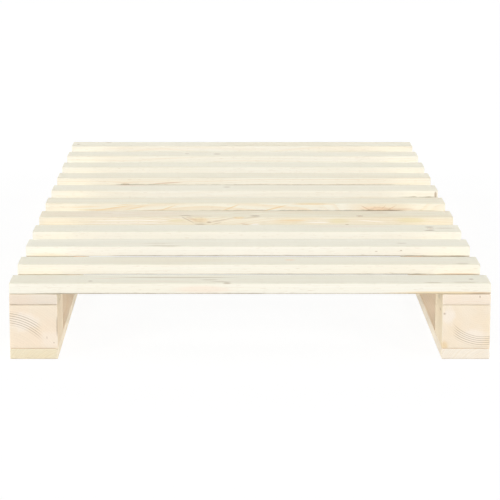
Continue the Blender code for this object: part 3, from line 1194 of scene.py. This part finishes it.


# The brown stretches along the slats' arrises are painted shade, where the slats' lower edges and
# joints lie in shadow.
SLAT_FINISHES = (
    PineFinish(
        Cut.FLAT, PALE, CREAM, 0.22,
        patches=(
            front(-0.100, -0.002, 0.075, 0.011, PINK, 0.90, deep=0.012),
            top(-0.430, 0.015, 0.050, 0.024, PINK, 0.35),
            top(-0.298, 0.004, 0.045, 0.007, PINK, 0.70),
            top(-0.180, -0.022, 0.090, 0.008, PINK, 0.50),
            top(-0.085, -0.008, 0.024, 0.007, DUSK, 0.60),
            top(-0.062, -0.026, 0.024, 0.007, DUSK, 0.55),
            top(0.381, -0.036, 0.022, 0.007, DUSK, 0.60),
            top(0.447, -0.032, 0.034, 0.009, DUSK, 0.42),
            top(0.463, -0.001, 0.007, 0.008, MARK, 0.42),
            top(-0.150, 0.015, 0.160, 0.0055, DUSK, 0.80),
            top(-0.048, -0.040, 0.011, 0.008, MARK, 0.60, 0.0022),
            top(-0.332, -0.020, 0.006, 0.008, MARK, 0.30),
            front(0.400, -0.0095, 0.130, 0.0055, AMBER, 0.90, deep=0.012),
            front(0.480, -0.0105, 0.036, 0.0045, RUST, 0.60, deep=0.012),
        ),
        arris_shades=(
            ArrisShade(-0.45, 0.04, 0.0026, 0.55),
            ArrisShade(0.03, 0.50, 0.0026, 0.28),
            ArrisShade(-0.10, 0.42, 0.0035, 0.25, 0.0050, Arris.UPPER_BACK),
        ),
    ),
    PineFinish(
        Cut.RIFT, CREAM, PALE, 0.20,
        patches=(
            front(0.450, -0.0100, 0.060, 0.0026, RUST, 0.60, deep=0.012),
            top(0.462, -0.034, 0.020, 0.012, DUSK, 0.40),
            top(0.462, 0.022, 0.020, 0.010, DUSK, 0.14),
            top(0.090, 0.006, 0.014, 0.012, BLOOM, 0.55),
            top(-0.200, 0.000, 0.200, 0.060, HONEY, 0.40, 0.010),
        ),
        arris_shades=(
            ArrisShade(0.00, 0.29, 0.0026, 0.45),
            ArrisShade(0.28, 0.39, 0.0028, 0.55),
            ArrisShade(-0.36, 0.02, 0.0026, 0.25),
            ArrisShade(-0.31, 0.50, 0.0040, 0.58, 0.0060, Arris.UPPER_BACK),
        ),
    ),
    PineFinish(
        Cut.FLAT_DEEP, PALE, (0.962, 0.948, 0.900), 0.12,
        patches=(
            top(-0.190, -0.034, 0.050, 0.009, DUSK, 0.45),
            top(-0.200, -0.006, 0.050, 0.008, DUSK, 0.30),
            top(0.349, -0.006, 0.016, 0.007, DUSK, 0.55),
            front(-0.450, -0.008, 0.060, 0.006, AMBER, 0.28, deep=0.012),
            front(0.345, 0.002, 0.0035, 0.0014, MARK, 0.60, deep=0.006),
            front(0.289, 0.000, 0.0040, 0.0012, MARK, 0.50, deep=0.006),
        ),
        arris_shades=(
            ArrisShade(-0.31, -0.17, 0.0028, 0.45),
            ArrisShade(-0.18, -0.04, 0.0028, 0.66),
            ArrisShade(-0.05, 0.50, 0.0028, 0.48),
        ),
    ),
    PineFinish(
        Cut.QUARTER, PALE, CREAM, 0.16,
        knots=(Knot((0.431, -0.006, SLAT_TOP), 0.0040, 1.9, 3.0, 0.30, 0.004),),
        patches=(
            top(0.430, 0.014, 0.013, 0.007, MARK, 0.62),
            top(0.427, -0.028, 0.016, 0.007, MARK, 0.66),
            top(0.466, 0.000, 0.034, 0.006, MARK, 0.42),
            top(0.250, 0.020, 0.120, 0.020, PINK, 0.50),
        ),
    ),
    PineFinish(
        Cut.FLAT, WARM, HONEY, 0.42, (0.870, 0.765, 0.600),
        wander=0.030,
        knots=(
            Knot((-0.112, -0.030, SLAT_TOP), 0.0090, 3.0, 1.2, 0.18, 0.014),
            Knot((0.275, -0.026, SLAT_TOP), 0.0030, 2.4, 2.0, 0.85, 0.004),
        ),
        patches=(
            top(-0.300, 0.000, 0.240, 0.060, PINK, 0.80),
            front(-0.265, 0.0035, 0.120, 0.0018, BLUSH, 0.95),
            front(-0.285, -0.003, 0.120, 0.0018, BLUSH, 0.95),
            front(-0.168, 0.003, 0.030, 0.0040, STRAW, 0.60),
            front(0.010, 0.0100, 0.050, 0.0020, MARK, 0.34, 0.08),
            front(-0.090, -0.001, 0.007, 0.0022, MARK, 0.55),
            front(-0.003, -0.006, 0.014, 0.0022, RUST, 0.45, -0.20),
            front(0.022, -0.007, 0.012, 0.0034, BLUSH, 0.95),
            front(0.117, 0.0034, 0.044, 0.0026, AMBER, 0.90),
            front(0.175, -0.001, 0.040, 0.0018, BLUSH, 0.90),
            Patch((0.222, -0.040, 0.002), (0.034, 0.020, 0.0080), STRAW, 0.65),
            front(0.244, -0.007, 0.007, 0.0016, MARK, 0.50),
            top(-0.147, -0.020, 0.024, 0.007, MARK, 0.60),
            top(0.022, -0.026, 0.016, 0.010, MARK, 0.80),
            top(0.328, 0.014, 0.034, 0.005, RUST, 0.60),
            front(-0.018, 0.010, 0.018, 0.004, AMBER, 0.80),
            Patch((0.395, -0.040, 0.004), (0.050, 0.020, 0.009), STRAW, 0.75),
            front(0.300, 0.002, 0.050, 0.0018, BLUSH, 0.70, -0.08),
            Patch((0.100, -0.040, 0.002), (0.050, 0.020, 0.010), AMBER, 0.35),
            Patch((-0.112, -0.042, 0.005), (0.026, 0.016, 0.008), AMBER, 0.60),
            front(-0.133, 0.008, 0.016, 0.0045, RUST, 0.34, -0.30),
            front(0.150, 0.008, 0.040, 0.0030, AMBER, 0.30),
            front(-0.141, 0.005, 0.020, 0.0019, MARK, 0.42, -0.49),
            front(-0.110, -0.006, 0.020, 0.0019, MARK, 0.38),
            front(-0.057, 0.0045, 0.042, 0.0020, MARK, 0.32, 0.195),
            front(-0.072, -0.004, 0.016, 0.0016, MARK, 0.30, 0.25),
        ),
    ),
    PineFinish(
        Cut.RIFT_STEEP, CREAM, WARM, 0.36, (0.905, 0.785, 0.585), 0.0060,
        wander=0.030,
        knots=(
            Knot((0.335, SLAT_FRONT, -0.0115), 0.0120, 2.6, 1.0, 0.28, 0.012, Branch.SIDEWAYS),
        ),
        patches=(
            front(-0.405, 0.002, 0.045, 0.0014, AMBER, 0.70, 0.03),
            front(-0.395, -0.004, 0.050, 0.0012, STRAW, 0.80, -0.02),
            front(-0.300, 0.008, 0.035, 0.0013, AMBER, 0.70, 0.09),
            front(-0.328, 0.000, 0.062, 0.0018, AMBER, 0.90, 0.152),
            front(-0.274, 0.000, 0.044, 0.0017, AMBER, 0.90, 0.203),
            front(-0.193, 0.000, 0.024, 0.0018, AMBER, 0.90, 0.340),
            front(-0.035, 0.001, 0.028, 0.0020, AMBER, 0.95, 0.367),
            front(0.077, 0.000, 0.040, 0.0020, AMBER, 0.95, 0.254),
            front(0.165, 0.0095, 0.070, 0.0026, AMBER, 0.85),
            front(0.380, -0.0040, 0.065, 0.0050, RUST, 0.36),
            front(0.330, -0.0020, 0.050, 0.0080, BLOOM, 0.60),
            front(0.366, 0.000, 0.015, 0.0015, RUST, 0.65, 0.500),
            front(0.346, 0.002, 0.008, 0.0018, RUST, 0.50, 0.950),
            front(0.300, 0.000, 0.015, 0.0015, RUST, 0.65, -0.500),
        ),
        arris_shades=(
            ArrisShade(-0.30, -0.10, 0.0062, 0.22),
            ArrisShade(-0.12, 0.07, 0.0062, 0.36),
            ArrisShade(0.06, 0.30, 0.0062, 0.48),
            ArrisShade(0.28, 0.40, 0.0066, 0.66),
            ArrisShade(0.40, 0.48, 0.0064, 0.48),
        ),
    ),
    PineFinish(
        Cut.RIFT_STEEP, CREAM, PALE, 0.26,
        patches=(
            front(0.494, 0.000, 0.0040, 0.011, MARK, 0.68, deep=0.008),
            top(-0.046, 0.011, 0.012, 0.009, MARK, 0.45),
            top(-0.300, 0.030, 0.060, 0.018, PINK, 0.60),
        ),
        arris_shades=(ArrisShade(0.40, 0.50, 0.0075, 0.80),),
    ),
    PineFinish(
        Cut.RIFT, CREAM, WARM, 0.32, (0.900, 0.795, 0.650),
        knots=(
            Knot((-0.318, SLAT_FRONT, -0.006), 0.0032, 3.2, 1.0, 0.45, 0.004, Branch.SIDEWAYS),
        ),
        patches=(front(-0.205, -0.002, 0.050, 0.0014, RUST, 0.80, 0.050),),
        arris_shades=(ArrisShade(-0.35, -0.22, 0.0066, 0.52), ArrisShade(-0.24, 0.47, 0.0062, 0.34)),
    ),
    PineFinish(Cut.FLAT_DEEP, PALE, CREAM, 0.20),
    PineFinish(
        Cut.RIFT_STEEP, PALE, CREAM, 0.24,
        patches=(
            top(-0.073, -0.003, 0.014, 0.010, MARK, 0.50),
            top(-0.159, 0.004, 0.008, 0.008, MARK, 0.35),
        ),
    ),
    PineFinish(
        Cut.QUARTER, PALE, WARM, 0.24,
        patches=(
            top(-0.395, 0.028, 0.016, 0.010, MARK, 0.45),
            top(-0.482, -0.008, 0.006, 0.009, MARK, 0.50),
        ),
    ),
)

STRINGER_FINISH = PineFinish(
    Cut.FLAT_DEEP, (0.955, 0.925, 0.870), (0.960, 0.915, 0.850), 0.28,
    # Painted shade along the lower arrises and joints.
    foot=0.65,
    # Painted shade on the sides.
    side_lighting_tint=(1.0, 0.975, 0.925),
)
SKID_FINISH = PineFinish(
    Cut.RIFT, (0.985, 0.955, 0.925), (0.980, 0.945, 0.910), 0.30,
    # Painted shade along the lower arrises.
    foot=0.45,
    # Painted shade on the faces that look up and down.
    face_lighting_tint=(0.995, 0.952, 0.888),
)
BLOCK_FINISH = PineFinish(
    Cut.MIDDLE_BLOCK, (0.965, 0.915, 0.840), (0.962, 0.900, 0.815), 0.40,
    ring_width=0.0046,
    end_tone=(1.0, 0.889, 0.823),
    # Painted shade on the sides.
    side_lighting_tint=(1.0, 0.975, 0.925),
)
FRONT_BLOCK_FINISH = PineFinish(
    contrast=0.76,
    latewood=(0.620, 0.530, 0.400),
    wander=0.003,
    sharpness=0.45,
    evenness=0.85,
    quiet=0.06,
    # Painted shade along the lower arrises.
    foot=0.10,
    end_tone=(0.955, 0.930, 0.905),
)


@dataclass
class Runner:
    """One side of the bed: stringer board, three blocks and skid board."""

    side: str
    seed: float
    stringer: PineFinish
    skid: PineFinish
    front_block: PineFinish

    # What each piece adds to the runner's seed, so that no two show the same grain.
    STRINGER_SEED, SKID_SEED, MIDDLE_BLOCK_SEED, REAR_BLOCK_SEED = 0.3, 0.7, 2.0, 3.0
    BLOCK_EDGE_RADIUS = 0.0015
    BLOCK_END_RADIUS = 0.0010
    BLOCK_STEP = 0.008
    BLOCK_STEPS = 8

    def pieces(self) -> list[TimberPiece]:
        """Return the runner's timber, from the top down.

        Returns:
            The stringer board, the skid board and the blocks.
        """
        stringer = replace(self.stringer, seed=self.seed + self.STRINGER_SEED)
        skid = replace(self.skid, seed=self.seed + self.SKID_SEED)
        blocks = (
            self.front_block,
            replace(BLOCK_FINISH, seed=self.seed + self.MIDDLE_BLOCK_SEED),
            replace(BLOCK_FINISH, seed=self.seed + self.REAR_BLOCK_SEED, cut=Cut.REAR_BLOCK),
        )
        found = [
            TimberPiece(self.side + "_stringer", "stringer_pine", stringer),
            TimberPiece(self.side + "_skid_board", "skid_pine", skid),
        ]
        for number, finish in enumerate(blocks, start=1):
            found.append(
                TimberPiece(
                    f"{self.side}_block_{number}",
                    "block_pine",
                    finish,
                    self.BLOCK_EDGE_RADIUS,
                    end_radius=self.BLOCK_END_RADIUS,
                    step_along=self.BLOCK_STEP,
                    steps_across=self.BLOCK_STEPS,
                    steps_up=self.BLOCK_STEPS,
                )
            )
        return found


# In both runners, the tints of the sides are painted light and shade.
LEFT_RUNNER = Runner(
    "left",
    21.0,
    replace(STRINGER_FINISH, end_tone=(0.920, 0.887, 0.868)),
    replace(SKID_FINISH, end_tone=(0.860, 0.832, 0.669), side_lighting_tint=(1.0, 0.985, 0.930)),
    replace(
        FRONT_BLOCK_FINISH,
        cut=Cut.LEFT_FRONT_BLOCK,
        sapwood=(0.962, 0.918, 0.845),
        heartwood=(0.966, 0.912, 0.835),
        ring_width=0.0049,
        clear_radius=0.1250,
        clear_spread=0.0125,
        clear_reach=0.081,
        seed=1.5,
        side_lighting_tint=(0.980, 0.955, 0.910),
        patches=(
            Patch((-0.075, 0.019, 0.011), (0.020, 0.038, 0.026), BLUSH, 0.75),
            Patch((-0.075, -0.036, -0.028), (0.020, 0.030, 0.026), BLUSH, 0.40),
            Patch((-0.075, -0.0490, -0.001), (0.012, 0.0026, 0.026), MARK, 0.55),
            Patch((-0.075, -0.0275, -0.023), (0.004, 0.0014, 0.0040), MARK, 0.40),
            Patch((-0.075, -0.042, -0.034), (0.004, 0.0020, 0.0020), MARK, 0.45),
        ),
    ),
)
RIGHT_RUNNER = Runner(
    "right",
    31.0,
    replace(
        STRINGER_FINISH,
        # Painted shade along the lower arrises and joints, weaker on this side.
        foot=0.25,
        end_tone=(0.975, 0.943, 0.922),
        patches=(Patch((-1.0, -0.0273, 0.0062), (0.012, 0.0016, 0.0040), MARK, 0.60),),
    ),
    replace(SKID_FINISH, end_tone=(0.905, 0.895, 0.844), side_lighting_tint=(1.0, 0.990, 0.950)),
    replace(
        FRONT_BLOCK_FINISH,
        cut=Cut.RIGHT_FRONT_BLOCK,
        sapwood=(0.966, 0.925, 0.855),
        heartwood=(0.962, 0.910, 0.825),
        ring_width=0.0043,
        clear_radius=0.0940,
        clear_spread=0.0105,
        clear_reach=0.060,
        seed=2.5,
        side_lighting_tint=(1.0, 0.982, 0.940),
        patches=(
            Patch((-0.075, -0.014, -0.020), (0.020, 0.038, 0.022), BLUSH, 0.65),
            Patch((-0.075, 0.037, 0.022), (0.020, 0.019, 0.024), BLUSH, 0.70),
            Patch((-0.075, 0.046, -0.041), (0.014, 0.013, 0.013), AMBER, 0.85),
            Patch((-0.075, 0.0455, 0.028), (0.006, 0.0038, 0.0034), MARK, 0.50),
            Patch((-0.030, 0.050, 0.028), (0.016, 0.004, 0.0030), MARK, 0.50),
        ),
    ),
)


@dataclass
class Bed:
    """The whole bed: the slat deck on its two runners, with all the screws."""

    slats: tuple[PineFinish, ...] = SLAT_FINISHES
    runners: tuple[Runner, ...] = (LEFT_RUNNER, RIGHT_RUNNER)

    def deck(self) -> list[TimberPiece]:
        """Return the deck's timber.

        Returns:
            The slats, front slat first.
        """
        found = []
        for number, slat in enumerate(self.slats, start=1):
            node = f"slat_{number:02d}"
            finish = replace(slat, seed=float(number))
            found.append(TimberPiece(node, "slat_pine", finish, grain=Grain.ACROSS_BED))
        return found

    def build(self) -> None:
        """Make the screws' bores, every piece of timber and then the screws."""
        names = sorted(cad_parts)
        slat_screw = WoodScrew("slat")
        block_screw = WoodScrew("block")
        cutters: dict[str, Object] = {}
        for runner in self.runners:
            for screw in (slat_screw, block_screw):
                key = f"{runner.side}_{screw.use}_screw"
                cutters[key] = screw.place_cutters([name for name in names if name.startswith(key)])
        effects = PineEffects()
        slat_cutters = [cutters[f"{runner.side}_slat_screw"] for runner in self.runners]
        for timber in self.deck():
            timber.make(slat_cutters, effects)
        for runner in self.runners:
            for timber in runner.pieces():
                wanted = [cutters[f"{runner.side}_block_screw"]]
                if timber.slot == "stringer_pine":
                    wanted.append(cutters[f"{runner.side}_slat_screw"])
                timber.make(wanted, effects)
        for cutter in cutters.values():
            bpy.data.objects.remove(cutter, do_unlink=True)
        for screw in (slat_screw, block_screw):
            screw.place_all([name for name in names if f"_{screw.use}_screw_" in name])


@dataclass(frozen=True)
class Softbox:
    """One broad soft light: its spread, its elevation and its turn from the front in degrees."""

    name: str
    strength: float
    spread: float
    elevation: float
    turn: float

    def hang(self) -> None:
        """Hang the light."""
        lamp = bpy.data.lights.new(self.name, "SUN")
        lamp.energy = self.strength
        lamp.angle = math.radians(self.spread)
        light = bpy.data.objects.new(self.name, lamp)
        bpy.context.scene.collection.objects.link(light)
        light.rotation_euler = (math.radians(90.0 - self.elevation), 0.0, math.radians(self.turn))


@dataclass
class Studio:
    """Pale floor, soft light and the photograph's viewpoint."""

    floor_size: float = 60.0
    floor_tone: float = 0.80
    floor_shade: float = 0.14
    floor_glow: float = 0.90
    ambient: float = 0.330
    softboxes: tuple[Softbox, ...] = (
        Softbox("front_left_softbox", 1.22, 20.0, 15.0, -40.0),
        Softbox("front_right_softbox", 1.22, 20.0, 15.0, 40.0),
        Softbox("left_softbox", 1.035, 20.0, 8.0, -92.0),
        Softbox("right_softbox", 1.035, 20.0, 8.0, 92.0),
        Softbox("high_left_softbox", 0.20, 20.0, 30.0, -78.0),
        Softbox("high_right_softbox", 0.20, 20.0, 30.0, 78.0),
        Softbox("head_end_softbox", 1.245, 50.0, 9.0, 180.0),
    )
    camera_place: Point = (-0.0558, -5.4144, 1.1109)
    camera_pitch: float = math.radians(11.257)
    focal_pixels: float = 2179.0
    photo_width: float = 500.0
    principal_x: float = 223.05
    sensor: float = 36.0

    SEEN_RAYS = ("Is Camera Ray", "Is Glossy Ray", "Is Transmission Ray")

    def build(self) -> None:
        """Set up the floor, the light, the world and the camera."""
        bpy.context.scene.view_settings.view_transform = "Standard"
        self.lay_floor()
        self.light_world()
        for softbox in self.softboxes:
            softbox.hang()
        self.set_camera()

    def show(self, graph: ShaderGraph, real: Value, shown: Value, output: str) -> None:
        """Show one shader to camera, mirror and see-through rays, and another to the rest.

        Args:
            graph: The graph of both shaders.
            real: The shader that lights the bed.
            shown: The shader that is seen.
            output: Name of the graph's output node.
        """
        path = graph.node("LightPath").outputs
        seen = reduce(Value.most, [Value(path[ray]) for ray in self.SEEN_RAYS])
        chosen = graph.value("MixShader", seen, real, shown)
        graph.feed(graph.tree.nodes[output].inputs["Surface"], chosen)

    def lay_floor(self) -> None:
        """Lay a pale floor that shows white and keeps the bed's soft shadow."""
        Bench.clear_selection()
        bpy.ops.mesh.primitive_plane_add(size=self.floor_size, location=(0.0, 0.0, 0.0))
        floor = bpy.context.object
        floor.name = "studio_floor"
        material = bpy.data.materials.new("studio_floor_paint")
        material.use_nodes = True
        graph = ShaderGraph(material.node_tree)
        graph.tree.nodes.remove(graph.tree.nodes["Principled BSDF"])
        real = graph.value("BsdfDiffuse", (self.floor_tone,) * 3 + (1.0,))
        shade = graph.value("BsdfDiffuse", (self.floor_shade,) * 3 + (1.0,))
        shown = graph.value("AddShader", shade, graph.value("Emission", Strength=self.floor_glow))
        self.show(graph, real, shown, "Material Output")
        floor.data.materials.append(material)

    def light_world(self) -> None:
        """Light the bed evenly from all round, and show white behind it."""
        world = bpy.data.worlds.new("studio_world")
        bpy.context.scene.world = world
        world.use_nodes = True
        graph = ShaderGraph(world.node_tree)
        graph.tree.nodes.remove(graph.tree.nodes["Background"])
        soft = graph.value("Background", (1.0, 1.0, 1.0, 1.0), self.ambient)
        white = graph.value("Background", (1.0, 1.0, 1.0, 1.0), 1.0)
        self.show(graph, soft, white, "World Output")

    def set_camera(self) -> None:
        """Stand the camera where the photograph was taken from."""
        data = bpy.data.cameras.new("photo_view")
        data.sensor_width = self.sensor
        data.lens = self.focal_pixels / self.photo_width * self.sensor
        data.shift_x = 0.5 - self.principal_x / self.photo_width
        camera = bpy.data.objects.new("photo_view", data)
        bpy.context.scene.collection.objects.link(camera)
        camera.location = self.camera_place
        camera.rotation_euler = (math.pi / 2 - self.camera_pitch, 0.0, 0.0)
        bpy.context.scene.camera = camera


def main() -> None:
    """Build the studio and the bed."""
    logging.basicConfig(level=logging.INFO, format="%(name)s: %(message)s")
    Studio().build()
    Bed().build()


if __name__ == "__main__":
    main()
